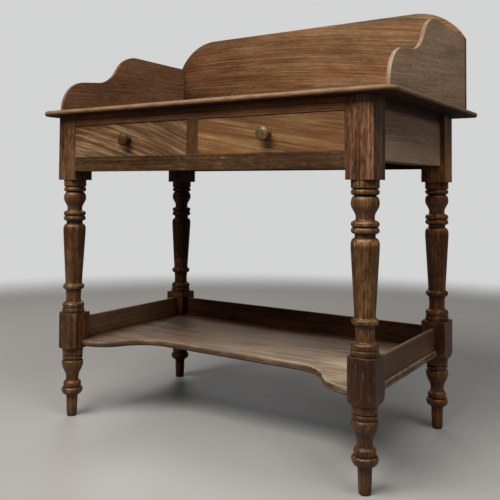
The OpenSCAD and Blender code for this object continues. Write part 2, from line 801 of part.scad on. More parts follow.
// Left side of a drawer: dovetails at the front, groove for the bottom, dado for the back
module drawer_side() {
    l = drawer_end_y - front_face;
    color(plain_wood)
        difference() {
            side_outline(-drawer_w / 2, side_t)
                polygon(concat([[l, side_h], [front_t, side_h]], tail_edge(0), [[front_t, 0], [l, 0]]));
            translate([-drawer_w / 2 + side_t - groove_depth, front_face + front_t - groove_depth, drawer_z + groove_z])
                cube([groove_depth + 1, l, bottom_t]);
            translate([-drawer_w / 2 + side_t - dado, drawer_back_y - fit_gap, drawer_z + groove_z + bottom_t - 0.5])
                cube([dado + 1, drawer_back_t + 2 * fit_gap, side_h]);
        }
}

module drawer_back() {
    w = drawer_w - 2 * (side_t - dado + fit_gap);
    z = drawer_z + groove_z + bottom_t;
    color(plain_wood)
        translate([-w / 2, drawer_back_y, z]) cube([w, drawer_back_t, drawer_z + side_h - drawer_back_drop - z]);
}

module drawer_bottom() {
    w = drawer_w - 2 * (side_t - groove_depth + fit_gap);
    y = front_face + front_t - groove_depth + fit_gap;
    color(plain_wood)
        translate([-w / 2, y, drawer_z + groove_z + fit_gap])
            cube([w, drawer_end_y - y, bottom_t - 2 * fit_gap]);
}

// Turned knob: tenon, flange, neck and mushroom head, as [radius, distance in front] pairs
function knob_profile() =
    let (r = knob_d / 2, n = knob_tenon_d / 2)
    concat(
        [[0, -front_t + 1], [n, -front_t + 1], [n, 0], [n + 6.2, 0]],
        level_end([n + 6.8, 1.6], [n + 4.6, 4.2], 6),
        level_start([n + 4.2, 4.5], [n + 1, 8], 5),
        level_end([n + 1, 9], [r - 3.2, knob_out - 8.8], 6),
        level_start([r - 3, knob_out - 8.6], [r, knob_out - 5.8], 5),
        level_end([r, knob_out - 5.2], [r - 4, knob_out - 1.6], 6),
        level_end([r - 4.4, knob_out - 1.5], [0, knob_out], 6)
    );

module drawer_knob() {
    color(leg_colour)
        translate([0, front_face, drawer_z + front_h / 2])
            rotate([90, 0, 0]) rotate_extrude() polygon(knob_profile());
}

module at_drawer(s) {
    translate([s * drawer_x, 0, 0]) children();
}

leg_front_left();
leg_front_right();
leg_back_left();
leg_back_right();
top_board();
gallery_back();
gallery_left();
gallery_right();
front_top_rail();
front_bottom_rail();
drawer_divider();
apron_left();
apron_right();
apron_back();
runner_left();
runner_centre();
runner_right();
guide_left();
guide_centre();
guide_right();
kicker_left();
kicker_centre();
kicker_right();
drawer_stops();
glue_blocks();
shelf();
shelf_rail_left();
shelf_rail_right();
shelf_rail_back();
top_screws();
gallery_screws();
shelf_screws();
at_drawer(-1) drawer_front();  // left_drawer_front
at_drawer(-1) drawer_side();  // left_drawer_side_l
at_drawer(-1) mirror([1, 0, 0]) drawer_side();  // left_drawer_side_r
at_drawer(-1) drawer_back();  // left_drawer_back
at_drawer(-1) drawer_bottom();  // left_drawer_bottom
at_drawer(-1) drawer_knob();  // left_drawer_knob
at_drawer(1) drawer_front();  // right_drawer_front
at_drawer(1) drawer_side();  // right_drawer_side_l
at_drawer(1) mirror([1, 0, 0]) drawer_side();  // right_drawer_side_r
at_drawer(1) drawer_back();  // right_drawer_back
at_drawer(1) drawer_bottom();  // right_drawer_bottom
at_drawer(1) drawer_knob();  // right_drawer_knob
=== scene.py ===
import math

import bmesh
import bpy
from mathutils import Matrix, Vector


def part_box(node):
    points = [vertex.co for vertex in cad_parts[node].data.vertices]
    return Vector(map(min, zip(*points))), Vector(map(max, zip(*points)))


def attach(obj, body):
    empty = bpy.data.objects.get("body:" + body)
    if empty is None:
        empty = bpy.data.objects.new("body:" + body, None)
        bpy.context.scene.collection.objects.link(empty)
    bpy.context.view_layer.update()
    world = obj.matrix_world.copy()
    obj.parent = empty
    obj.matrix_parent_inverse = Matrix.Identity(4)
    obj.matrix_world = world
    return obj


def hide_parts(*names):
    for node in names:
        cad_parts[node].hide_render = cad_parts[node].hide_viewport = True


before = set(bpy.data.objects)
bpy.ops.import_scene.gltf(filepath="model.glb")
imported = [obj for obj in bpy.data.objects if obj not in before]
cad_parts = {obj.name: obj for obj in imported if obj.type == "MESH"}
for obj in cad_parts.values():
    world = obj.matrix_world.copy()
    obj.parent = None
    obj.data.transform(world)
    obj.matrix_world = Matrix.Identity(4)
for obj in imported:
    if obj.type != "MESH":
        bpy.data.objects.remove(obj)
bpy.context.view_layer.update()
scene = bpy.context.scene


# The view. The camera stands in front of the stand's right end, a little over half a metre up, and
# looks across it to the left, nearly level, with the horizon above the middle of the frame.
lens_camera = bpy.data.cameras.new("view_camera")
lens_camera.sensor_width = 36.0
lens_camera.lens = 49.163
lens_camera.shift_y = -0.17
lens_camera.clip_start = 0.05
lens_camera.clip_end = 200.0
view_camera = bpy.data.objects.new("view_camera", lens_camera)
scene.collection.objects.link(view_camera)
view_camera.location = (0.88604, -1.38250, 0.54989)
view_camera.rotation_euler = [math.radians(angle) for angle in (91.9139, -0.4074, 33.1061)]
scene.camera = view_camera


# The floor and the room. One plain pale sheet with a soft sheen lies under the stand and fades
# into a bright even room. Three soft windows light it: a large one high at the front, one at the
# right, and a weak one behind.
class Shade:
    """A socket in a finish. Arithmetic on it adds the Math nodes that work it out."""

    def __init__(self, finish, socket):
        self.finish, self.socket = finish, socket

    def maths(self, operation, first, second):
        return self.finish.node("ShaderNodeMath", {"operation": operation}, {0: first, 1: second})

    def __add__(self, other):
        return self.maths("ADD", self, other)

    def __radd__(self, other):
        return self.maths("ADD", other, self)

    def __sub__(self, other):
        return self.maths("SUBTRACT", self, other)

    def __rsub__(self, other):
        return self.maths("SUBTRACT", other, self)

    def __mul__(self, other):
        return self.maths("MULTIPLY", self, other)

    def __rmul__(self, other):
        return self.maths("MULTIPLY", other, self)

    def __truediv__(self, other):
        return self.maths("DIVIDE", self, other)

    def __pow__(self, other):
        return self.maths("POWER", self, other)


class Finish:
    """The tree of nodes that makes a material's colour and surface, or the room's light."""

    def __init__(self, owner):
        self.owner = owner
        owner.use_nodes = True
        self.tree = owner.node_tree
        self.shader = self.tree.nodes.get("Principled BSDF") or self.tree.nodes["Background"]

    def fill(self, socket, value):
        """Links a socket to a shade, or sets it to a plain value."""
        if isinstance(value, Shade):
            self.tree.links.new(value.socket, socket)
        else:
            socket.default_value = value

    def node(self, kind, settings, inputs, out=0):
        """Adds a node, sets it, fills its sockets and gives back the output that is asked for."""
        made = self.tree.nodes.new(kind)
        for name, value in settings.items():
            if name == "stops":
                ramp = made.color_ramp
                while len(ramp.elements) < len(value):
                    ramp.elements.new(0.5)
                for element, (place, colour) in zip(ramp.elements, value):
                    element.position = place
                    element.color = (*colour, 1)
            else:
                setattr(made, name, value)
        for name, value in inputs.items():
            self.fill(made.inputs[name], value)
        return Shade(self, made.outputs[out])

    def step(self, value, low, high):
        """0 where value is below low, 1 above high, and a smooth rise between them."""
        return self.node("ShaderNodeMapRange", {"interpolation_type": "SMOOTHSTEP"},
                         {"Value": value, "From Min": low, "From Max": high})

    def mix(self, mask, colour, other, how="MIX"):
        """One colour where mask is 0, the other where it is 1."""
        first, second = [tint if isinstance(tint, Shade) else (*tint, 1) for tint in (colour, other)]
        return self.node("ShaderNodeMix", {"data_type": "RGBA", "blend_type": how},
                         {0: mask, 6: first, 7: second}, out=2)

    def coordinate(self, vector, axis):
        """One of a vector's three numbers: 0 for x, 1 for y and 2 for z."""
        return self.node("ShaderNodeSeparateXYZ", {}, {0: vector}, out=axis)

    def reach(self, vector, direction):
        """How far a vector reaches along a direction."""
        return self.node("ShaderNodeVectorMath", {"operation": "DOT_PRODUCT"},
                         {0: vector, 1: direction}, out="Value")

    def openness(self, distance, samples=6, own_shape=True):
        """1 in the open, less where surfaces within a distance close in on a spot."""
        return self.node("ShaderNodeAmbientOcclusion", {"samples": samples, "only_local": own_shape},
                         {"Distance": distance}, out="AO")

    def streaks(self, grain, length, width, detail=2.0, sharpness=0.5):
        """Noise drawn out along the grain, in streaks of about that length and width in metres."""
        along, across, through = grain
        place = self.node("ShaderNodeCombineXYZ", {},
                          {0: along / length, 1: across / width, 2: through / width})
        return self.node("ShaderNodeTexNoise", {},
                         {"Vector": place, "Scale": 1.0, "Detail": detail, "Roughness": sharpness})

    def coat(self, colour, roughness, relief, strength, rounded):
        """Feeds the shader its colour, its roughness and a fine relief on the rounded shape."""
        self.fill(self.shader.inputs["Base Color"], colour)
        self.fill(self.shader.inputs["Roughness"], roughness)
        self.fill(self.shader.inputs["Normal"], self.node(
            "ShaderNodeBump", {},
            {"Strength": strength, "Distance": 0.0006, "Height": relief, "Normal": rounded}))


floor_half, fade_start, fade_end = 3.6, 2.0, 2.9
floor_mesh = bpy.data.meshes.new("studio_floor")
floor_mesh.from_pydata([(-floor_half, -floor_half, 0), (floor_half, -floor_half, 0),
                        (floor_half, floor_half, 0), (-floor_half, floor_half, 0)], [], [(0, 1, 2, 3)])
studio_floor = bpy.data.objects.new("studio_floor", floor_mesh)
scene.collection.objects.link(studio_floor)
floor_paint = Finish(bpy.data.materials.new("floor_paint"))
floor_place = floor_paint.node("ShaderNodeTexCoord", {}, {}, out="Object")
from_middle = floor_paint.node("ShaderNodeVectorMath", {"operation": "LENGTH"}, {0: floor_place}, out="Value")
floor_paint.fill(floor_paint.shader.inputs["Alpha"], 1.0 - floor_paint.step(from_middle, fade_start, fade_end))
floor_paint.shader.inputs["Base Color"].default_value = (0.265, 0.253, 0.239, 1)
floor_paint.shader.inputs["Roughness"].default_value = 0.40
floor_mesh.materials.append(floor_paint.owner)

scene.world = bpy.data.worlds.new("studio_room")
room = Finish(scene.world)
room.shader.inputs["Color"].default_value = (0.99, 0.995, 1.0, 1)
looking = room.node("ShaderNodeLightPath", {}, {}, out="Is Camera Ray")
fill_light, backdrop_light = 0.10, 0.66
room.fill(room.shader.inputs["Strength"], looking * (backdrop_light - fill_light) + fill_light)


def soft_window(name, place, aim, width, height, watts, colour):
    """A large soft light at place, turned to shine at aim."""
    lamp = bpy.data.lights.new(name, "AREA")
    lamp.shape = "RECTANGLE"
    lamp.size = width
    lamp.size_y = height
    lamp.energy = watts
    lamp.color = colour
    holder = bpy.data.objects.new(name, lamp)
    scene.collection.objects.link(holder)
    holder.location = place
    holder.rotation_euler = (Vector(aim) - Vector(place)).to_track_quat("-Z", "Y").to_euler()


soft_window("front_window", (-0.45, -2.3, 3.3), (0.0, 0.0, 0.6), 2.6, 1.6, 240, (1.0, 0.98, 0.95))
soft_window("back_window", (-1.9, 2.3, 2.6), (0.0, 0.0, 0.5), 1.8, 1.4, 26, (0.99, 0.99, 1.0))
soft_window("right_window", (1.7, -0.7, 3.4), (0.2, 0.0, 0.6), 1.6, 1.6, 78, (0.98, 0.99, 1.0))
scene.view_settings.view_transform = "Standard"


# The legs. Each is turned from one square mahogany post, with the grain running up it, then
# stained and waxed. The wax wears off the rings, and the turned grooves are darkened with gathered
# wax and with painted shade.

# For a board whose grain runs on x, y or z: the axes along the grain, across it and through it.
GRAIN_AXES = {"x": (0, 2, 1), "y": (1, 2, 0), "z": (2, 0, 1)}
# How far one board's place in the tree lies from the next one's, in those three directions.
NEXT_BOARD = (1.37, 0.61, 0.29)


def deeper(colour, share):
    """The same colour with a share of its light."""
    return [tint * share for tint in colour]


def mahogany(name, along, seed, tones, slope=0.0, curl=0.0, pith=(0.09, 0.06), lean=0.03,
             figure=0.4, stripe=0.2, band=0.012, lined=0.60, mottled=0.30, contrast=1.6, blush=0.4,
             scuffed=0.3, edge_rub_and_gap_shade=0.5, arris=0.0012, edge_rub_and_light_colour=(0.30, 0.20, 0.13), rim=None, rim_reach=None,
             shade_towards=None, stain_and_shade_bands=(), groove_dust_and_shade=0.5, shade_near_parts=None, below=(0.45, 0.5), sheen=0.44, gloss=0.20):
    """Old waxed mahogany. The grain runs on the axis along, seed picks the board, and tones are
    its dark, middle and light. Lengths are in metres, and a strength of 0 leaves a mark out.

    slope, curl    the grain's angle to its axis in radians, and how much it bends on its way
    pith, lean     how far off the tree's middle lies, and how steeply it crosses the board
    figure, stripe, lined, mottled
                   strengths of the growth marks, the bands, the fine lines and the mottle
    band           width of one band
    contrast       strength of all these together
    blush          strength of the red and the olive patches
    scuffed        strength of the scuffs
    edge_rub_and_gap_shade
                   strength of the marks on edges: rubbing, and on the drawer fronts, top rail
                   and divider, painted shade along the gaps
    arris          radius of the rounded edges
    edge_rub_and_light_colour
                   colour of rubbed wood; on the drawer fronts, top rail and divider it is the
                   colour of the painted shade in the gaps, and on the top it also paints the
                   light on the nosing
    rim            axis and strength: rubs the narrow edge of a board whose faces look on that axis;
                   on a flat board only where the edge doesn't look down, which on the top paints
                   the light on the nosing's upper half
    rim_reach      on an upright board: full up to one height, none above another, and only
                   further out from the stand's middle than the third number
    shade_towards  direction, low, high and tint: painted shade in full short of low that way, none past high
    stain_and_shade_bands
               low height, high height and tint of each length, painting its stain and the light
               and shade that falls on it
    groove_dust_and_shade
               strength of the dirt and painted shade in the piece's own corners and grooves
    shade_near_parts
               strength and distance of the painted shade where other surfaces are near
    below how far a face has to look down to take painted shade, and how much
    sheen, gloss   roughness of the wax, and strength of its shine"""
    finish = Finish(bpy.data.materials.new(name))
    spot = finish.node("ShaderNodeTexCoord", {}, {}, out="Object")
    height = finish.coordinate(spot, 2)
    dark = tones[0]

    # The way the grain runs.
    straight, sideways, inward = [finish.coordinate(spot, axis) for axis in GRAIN_AXES[along]]
    cut = [seed * step for step in NEXT_BOARD]
    turned, level = math.sin(slope), math.cos(slope)
    bent = sideways + straight * straight * curl if curl else sideways
    run = straight * level + bent * turned + cut[0]
    across = bent * level - straight * turned + cut[1]
    through = inward + cut[2]
    grain = (run, across, through)

    # Growth marks, by the distance from the wandering middle of the tree.
    drift = finish.streaks(grain, 0.45, 0.10, detail=1.0) - 0.5
    sway = finish.streaks(grain, 0.16, 0.05, detail=2.0) - 0.5
    off_across = across - (cut[1] + pith[0]) + drift * 0.05 + sway * 0.010
    off_through = through - (cut[2] + pith[1]) + (run - cut[0]) * lean + drift * 0.03
    from_pith = (off_across * off_across + off_through * off_through) ** 0.5
    marks_per_metre = 190.0
    growth = finish.node("ShaderNodeTexNoise", {"noise_dimensions": "1D"},
                         {"W": from_pith * marks_per_metre, "Scale": 1.0, "Detail": 4.0, "Roughness": 0.66})

    # Bands, lines, flecks, mottle and clouds lie over them, each with its strength.
    ribbon = finish.streaks(grain, 24 * band, band, detail=3.0, sharpness=0.55)
    line = finish.streaks(grain, 0.36, 0.0028, detail=4.0, sharpness=0.72)
    fleck = finish.streaks(grain, 0.032, 0.0018, detail=3.0, sharpness=0.70)
    mottle = finish.streaks(grain, 0.018, 0.0075, detail=4.0, sharpness=0.66)
    cloud = finish.streaks(grain, 0.17, 0.06, detail=3.0)
    marks = ((growth, 0.45 * figure), (ribbon, stripe), (line, lined),
             (fleck, 0.34), (mottle, mottled), (cloud, 0.45))
    tone = 0.5 - 0.5 * contrast * sum(strength for mark, strength in marks)
    for mark, strength in marks:
        tone = mark * (strength * contrast) + tone
    wood = finish.node("ShaderNodeValToRGB", {"stops": list(zip((0.22, 0.50, 0.80), tones))}, {0: tone})
    reddened, greened = (1.16, 0.86, 0.68), (0.92, 1.04, 1.02)
    warmth = finish.step(finish.streaks(grain, 0.075, 0.022, detail=3.0), 0.36, 0.64)
    wood = finish.mix(warmth * blush, wood, reddened, "MULTIPLY")
    wood = finish.mix((1.0 - warmth) * blush, wood, greened, "MULTIPLY")
    pore = finish.step(finish.streaks(grain, 0.018, 0.0010, detail=1.0), 0.58, 0.70)
    wood = finish.mix(pore * 0.32, wood, deeper(dark, 0.5))

    # Painted shade towards one side, tints by height that paint stain and light and shade, and the scuffs on
    # top of that.
    if shade_towards:
        direction, low, high, tint = shade_towards
        wood = finish.mix(1.0 - finish.step(finish.reach(spot, direction), low, high), wood, tint, "MULTIPLY")
    blur = 0.003
    for low, high, tint in stain_and_shade_bands:
        within = finish.step(height, low - blur, low + blur) - finish.step(height, high - blur, high + blur)
        wood = finish.mix(within, wood, tint, "MULTIPLY")
    scuff = finish.step(finish.streaks(grain, 0.05, 0.0022, detail=3.0), 0.58, 0.70)
    wood = finish.mix(scuff * finish.step(mottle, 0.45, 0.60) * scuffed, wood, edge_rub_and_light_colour)

    # Rubbed edges. Their marks also paint shade along the gaps on the drawer fronts, top rail and divider, and
    # light on the top's nosing.
    rounded = finish.node("ShaderNodeBevel", {"samples": 6}, {"Radius": arris})
    facing = finish.node("ShaderNodeNewGeometry", {}, {}, out="Normal")
    upward = finish.coordinate(facing, 2)
    patchy = finish.step(finish.streaks(grain, 0.04, 0.02, detail=4.0), 0.36, 0.66)
    edge_rub_and_light_mask = finish.step(1.0 - finish.reach(rounded, facing), 0.015, 0.16) * patchy * edge_rub_and_gap_shade
    if rim:
        axis, strength = rim
        flat = finish.coordinate(facing, axis)
        edge = (1.0 - finish.step(flat * flat, 0.30, 0.90)) * (patchy * 0.5 + 0.5) * strength
        if rim_reach:
            full_below, none_above, outward = rim_reach
            wood = finish.mix(edge * 0.8, wood, deeper(dark, 0.6))
            side = finish.coordinate(spot, axis)
            edge = (edge * (1.0 - finish.step(height, full_below, none_above))
                    * finish.step(side * side, outward ** 2 - 0.001, outward ** 2))
        else:
            # On a flat board, only where the edge doesn't look down: on the top this paints the light that
            # falls on the nosing's upper half.
            edge = edge * finish.step(upward, -0.50, 0.10)
        edge_rub_and_light_mask = finish.node("ShaderNodeMath", {"operation": "MAXIMUM"}, {0: edge_rub_and_light_mask, 1: edge})
    wood = finish.mix(edge_rub_and_light_mask, wood, edge_rub_and_light_colour)

    # Dirt and painted shade in the grooves, painted shade where other parts come near, and painted shade on
    # faces that look down.
    groove_dust_shade_mask = (1.0 - finish.step(finish.openness(0.016), 0.52, 1.0)) * groove_dust_and_shade
    wood = finish.mix(groove_dust_shade_mask, wood, (0.012, 0.006, 0.004))
    if shade_near_parts:
        strength, distance = shade_near_parts
        shelter = finish.openness(distance, samples=8, own_shape=False)
        wood = finish.mix((1.0 - finish.step(shelter, 0.30, 0.88)) * strength, wood, (0.004, 0.002, 0.001))
    downward_shade_mask = finish.step(upward * -1.0, below[0], 0.90) * below[1]
    wood = finish.mix(downward_shade_mask, wood, (0.004, 0.0025, 0.002))

    # The waxed surface.
    uneven = sheen + (line - 0.5) * 0.2 + (mottle - 0.5) * 0.25
    relief = fleck * 0.6 + line * 0.4 + mottle * 0.5 - pore * 0.8
    finish.coat(wood, uneven + groove_dust_shade_mask * 0.2 + downward_shade_mask * 0.4, relief, 0.35, rounded)
    finish.shader.inputs["Specular IOR Level"].default_value = gloss
    finish.shader.inputs["Specular Tint"].default_value = (1.0, 0.88, 0.72, 1)
    return finish


def dress(node, finish):
    """Puts a finish on a piece of the frame."""
    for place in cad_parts[node].material_slots:
        place.material = finish.owner


# The heights that part foot, low block, collar, taper, rings and top block. Each length takes its
# own tint, which paints its stain and the light and shade that falls on it.
leg_heights = (0.0, 0.1625, 0.247, 0.345, 0.447, 0.566, 0.73)
legs = {
    "leg_front_left": {
        "tones": [(0.0075, 0.0028, 0.0009), (0.064, 0.0270, 0.0084), (0.218, 0.122, 0.049)],
        "tints": [(0.93, 0.80, 0.58), (0.71, 0.62, 0.46), (0.82, 0.74, 0.62),
                  (0.88, 0.82, 0.68), (1.15, 1.06, 0.90), (0.75, 0.72, 0.87)], "gloss": 0.34},
    "leg_front_right": {
        "tones": [(0.008, 0.003, 0.0010), (0.070, 0.0295, 0.0094), (0.256, 0.145, 0.062)],
        "tints": [(0.78, 0.64, 0.46), (0.37, 0.23, 0.13), (0.84, 0.75, 0.58),
                  (0.58, 0.53, 0.42), (1.20, 1.16, 0.98), (0.85, 0.78, 0.95)], "gloss": 0.34},
    "leg_back_left": {
        "tones": [(0.007, 0.0024, 0.0006), (0.042, 0.0130, 0.0033), (0.115, 0.042, 0.011)],
        "tints": [(0.80, 0.75, 0.70), (1.50, 1.42, 1.35), (1.25, 1.18, 0.80),
                  (0.46, 0.37, 0.20), (0.46, 0.32, 0.18), (0.52, 0.44, 0.42)], "gloss": 0.12},
    "leg_back_right": {
        "tones": [(0.015, 0.0044, 0.0013), (0.108, 0.035, 0.0075), (0.355, 0.155, 0.043)],
        "tints": [(1.02, 1.02, 1.05), (0.48, 0.31, 0.18), (0.68, 0.58, 0.45),
                  (0.45, 0.40, 0.35), (0.86, 0.76, 0.66), (1.17, 1.29, 1.44)], "gloss": 0.30}}
for count, (leg, look) in enumerate(legs.items()):
    dress(leg, mahogany(
        "waxed_" + leg, "z", 3.0 + 2.3 * count, look["tones"], pith=(0.05, 0.045), lean=0.05,
        lined=0.5, contrast=1.5, blush=0.30, edge_rub_and_gap_shade=0.6, arris=0.0014,
        stain_and_shade_bands=list(zip(leg_heights, leg_heights[1:], look["tints"])), groove_dust_and_shade=0.80, shade_near_parts=(0.8, 0.05),
        below=(0.30, 0.9), sheen=0.36, gloss=look["gloss"]))


# The side and back aprons. Flat mahogany boards at the sides, faded to a greyer brown, with a
# painted shadow just beneath the top, and a plainer board across the back, nearly black with
# painted shade. All are tenoned into the legs with their grain lengthways.
grey_tones = [(0.078, 0.048, 0.031), (0.300, 0.190, 0.120), (0.490, 0.340, 0.227)]
back_tones = [(0.008, 0.003, 0.0012), (0.022, 0.009, 0.0035), (0.042, 0.019, 0.008)]
down, shade_high, shade_low = (0.0, 0.0, -1.0), 0.706, 0.690
for count, apron in enumerate(("apron_left", "apron_right")):
    # The tint, full above shade_high and gone below shade_low, paints the shadow that the top casts on the
    # apron.
    dress(apron, mahogany(
        "faded_" + apron, "y", 21.0 + 1.7 * count, grey_tones, slope=-0.07, curl=0.45,
        pith=(0.12, 0.03), lean=0.05, figure=0.9, stripe=0.25, band=0.02, contrast=0.85, blush=0.2,
        edge_rub_and_gap_shade=0.2, shade_towards=(down, -shade_high, -shade_low, (0.20, 0.17, 0.17)), shade_near_parts=(1.0, 0.05), sheen=0.50))
# Its near-black colour is partly painted shade, and more painted shade darkens it where the frame closes in.
dress("apron_back", mahogany("rough_back_apron", "x", 25.0, back_tones, edge_rub_and_gap_shade=0.1, shade_near_parts=(1.0, 0.25),
                             sheen=0.62, gloss=0.06))


# The front frame. A reddish mahogany rail above the drawers, a greyer one below them and a short
# divider between them, tenoned together flush with the fronts of the legs. Painted shade darkens
# the gaps along the upper rail and the divider.
red_tones = [(0.020, 0.0075, 0.0031), (0.080, 0.029, 0.0100), (0.170, 0.073, 0.029)]
divider_tones = [(0.016, 0.007, 0.003), (0.053, 0.024, 0.0098), (0.106, 0.054, 0.024)]
lower_tones = [(0.011, 0.0045, 0.0015), (0.038, 0.017, 0.006), (0.090, 0.047, 0.019)]
# The colour of the painted shade in the gaps round the drawers.
gap_shade = (0.010, 0.004, 0.002)
dress("front_top_rail", mahogany("red_top_rail", "x", 31.0, red_tones, contrast=1.4, scuffed=0.0,
                                 edge_rub_and_gap_shade=2.5, edge_rub_and_light_colour=gap_shade, shade_near_parts=(1.0, 0.05), sheen=0.42))
dress("drawer_divider", mahogany("red_divider", "z", 33.0, divider_tones, contrast=1.5, scuffed=0.0,
                                 edge_rub_and_gap_shade=1.5, edge_rub_and_light_colour=gap_shade, sheen=0.42))
dress("front_bottom_rail", mahogany("grey_bottom_rail", "x", 35.0, lower_tones, contrast=1.5,
                                    below=(0.3, 0.9), sheen=0.46))


# The pellet. A short plug of mahogany, cut across the grain and pared nearly flush, that covers
# a fixing near the right end of the rail below the drawers.
rail_face_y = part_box("front_bottom_rail")[0][1]
pellet_x, pellet_z = 0.340, 0.607
pellet_r, pellet_proud, pellet_sunk, pellet_steps = 0.0055, 0.0004, 0.0010, 32
pellet_tones = [(0.016, 0.007, 0.003), (0.048, 0.023, 0.009), (0.090, 0.048, 0.020)]
pellet_rings = [(pellet_r, pellet_sunk), (pellet_r, -0.4 * pellet_proud),
                (pellet_r * 0.93, -0.8 * pellet_proud), (pellet_r * 0.6, -pellet_proud)]
shape = bmesh.new()
turns = [[shape.verts.new((pellet_x + radius * math.cos(math.tau * step / pellet_steps), rail_face_y + depth,
                           pellet_z + radius * math.sin(math.tau * step / pellet_steps)))
          for step in range(pellet_steps)] for radius, depth in pellet_rings]
for ring, inner in zip(turns, turns[1:]):
    for step in range(pellet_steps):
        following = (step + 1) % pellet_steps
        shape.faces.new((ring[step], inner[step], inner[following], ring[following]))
shape.faces.new(turns[0])
shape.faces.new(turns[-1])
bmesh.ops.recalc_face_normals(shape, faces=shape.faces)
pellet_mesh = bpy.data.meshes.new("rail_pellet")
shape.to_mesh(pellet_mesh)
shape.free()
rail_pellet = bpy.data.objects.new("rail_pellet", pellet_mesh)
scene.collection.objects.link(rail_pellet)
pellet_mesh.materials.append(
    mahogany("pellet_end_grain", "y", 37.0, pellet_tones, groove_dust_and_shade=0.9, sheen=0.45).owner)
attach(rail_pellet, "frame")


# The strips inside the frame. Runners, guides, kickers, drawer stops and glue blocks are sawn
# from softwood and left bare, brown with age and dust, and glued in where nobody sees them.
def softwood(name, along, seed, dark=(0.20, 0.125, 0.060), light=(0.40, 0.27, 0.145), below=0.5):
    """Bare, aged pine with broad bands and a dull, dusty surface, darker in its corners, with painted shade on
    faces that look down.
    """
    finish = Finish(bpy.data.materials.new(name))
    spot = finish.node("ShaderNodeTexCoord", {}, {}, out="Object")
    grain = [finish.coordinate(spot, axis) + seed * step for axis, step in zip(GRAIN_AXES[along], NEXT_BOARD)]
    drift = finish.streaks(grain, 0.5, 0.06, detail=1.0) - 0.5
    bands_per_metre = 150.0
    bands = finish.node("ShaderNodeTexNoise", {"noise_dimensions": "1D"},
                        {"W": (grain[1] + grain[2] * 0.6 + drift * 0.05) * bands_per_metre,
                         "Scale": 1.0, "Detail": 2.0})
    fibre = finish.streaks(grain, 0.06, 0.0020, detail=3.0, sharpness=0.6)
    stain = finish.streaks(grain, 0.15, 0.07, detail=3.0)
    tone = bands * 0.5 + fibre * 0.35 + stain * 0.35 - 0.10
    wood = finish.node("ShaderNodeValToRGB", {"stops": [(0.40, dark), (0.62, light)]}, {0: tone})
    closed_in = 1.0 - finish.step(finish.openness(0.010), 0.35, 0.95)
    wood = finish.mix(closed_in * 0.5, wood, deeper(dark, 0.3))
    upward = finish.coordinate(finish.node("ShaderNodeNewGeometry", {}, {}, out="Normal"), 2)
    wood = finish.mix(finish.step(upward * -1.0, 0.45, 0.90) * below, wood, deeper(dark, 0.2))
    rounded = finish.node("ShaderNodeBevel", {"samples": 4}, {"Radius": 0.001})
    finish.coat(wood, 0.62 + fibre * 0.2, fibre + bands * 0.4, 0.5, rounded)
    finish.shader.inputs["Specular IOR Level"].default_value = 0.25
    return finish


aged_pine = {"dark": (0.040, 0.026, 0.016), "light": (0.110, 0.074, 0.046), "below": 0.8}
strip_pine = softwood("bare_strips_lengthways", "y", 41.0, **aged_pine)
for kind in ("runner", "guide", "kicker"):
    for side in ("left", "centre", "right"):
        dress(kind + "_" + side, strip_pine)
for block in ("drawer_stops", "glue_blocks"):
    dress(block, softwood("bare_" + block, "x", 43.0, **aged_pine))


# The top. One thin mahogany board with a rounded nosing on its front and ends, screwed down from
# underneath. Its nosing is rubbed pale, with painted light on its upper half, and painted shade
# darkens its underside.
top_tones = [(0.028, 0.011, 0.005), (0.092, 0.042, 0.018), (0.18, 0.096, 0.045)]
dress("top_board", mahogany("waxed_top", "x", 51.0, top_tones, edge_rub_and_gap_shade=0.2, edge_rub_and_light_colour=(0.190, 0.114, 0.064),
                            rim=(2, 0.9), below=(0.46, 0.86), sheen=0.42, gloss=0.12))


# The gallery. Three shaped mahogany boards stand round the top, sawn to curves and screwed from
# below. The back and left boards are golden brown, the right one is faded, and the end boards'
# outer edges are worn pale low down.
gallery_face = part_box("gallery_right")[1][0]
back_board_tones = [(0.036, 0.0133, 0.0042), (0.118, 0.053, 0.0185), (0.240, 0.142, 0.070)]
left_board_tones = [(0.044, 0.018, 0.008), (0.135, 0.066, 0.034), (0.230, 0.130, 0.075)]
right_board_tones = [(0.130, 0.081, 0.048), (0.262, 0.170, 0.106), (0.400, 0.278, 0.176)]
# Painted shade darkens the back board towards its lower left and near the top board.
dress("gallery_back", mahogany(
    "gallery_back_board", "x", 61.0, back_board_tones, slope=-0.08, curl=0.13, pith=(0.05, 0.05),
    lean=0.02, figure=0.25, lined=0.85, mottled=0.10, contrast=1.4, blush=0.5,
    shade_towards=((0.7, 0.0, 0.7), 0.20, 0.75, (0.52, 0.42, 0.36)), shade_near_parts=(0.5, 0.16), sheen=0.46))
dress("gallery_left", mahogany(
    "gallery_left_board", "y", 63.0, left_board_tones, slope=0.05, pith=(0.06, 0.05), lean=0.08,
    contrast=1.1, edge_rub_and_light_colour=(0.14, 0.122, 0.098), rim=(0, 0.6),
    rim_reach=(0.79, 0.85, gallery_face - 0.003), sheen=0.46))
dress("gallery_right", mahogany(
    "gallery_right_board", "y", 67.0, right_board_tones, slope=0.11, pith=(0.02, 0.03), lean=0.15,
    contrast=1.25, blush=0.3, edge_rub_and_light_colour=(0.205, 0.175, 0.130), rim=(0, 0.85),
    rim_reach=(0.79, 0.86, gallery_face - 0.003), sheen=0.50))


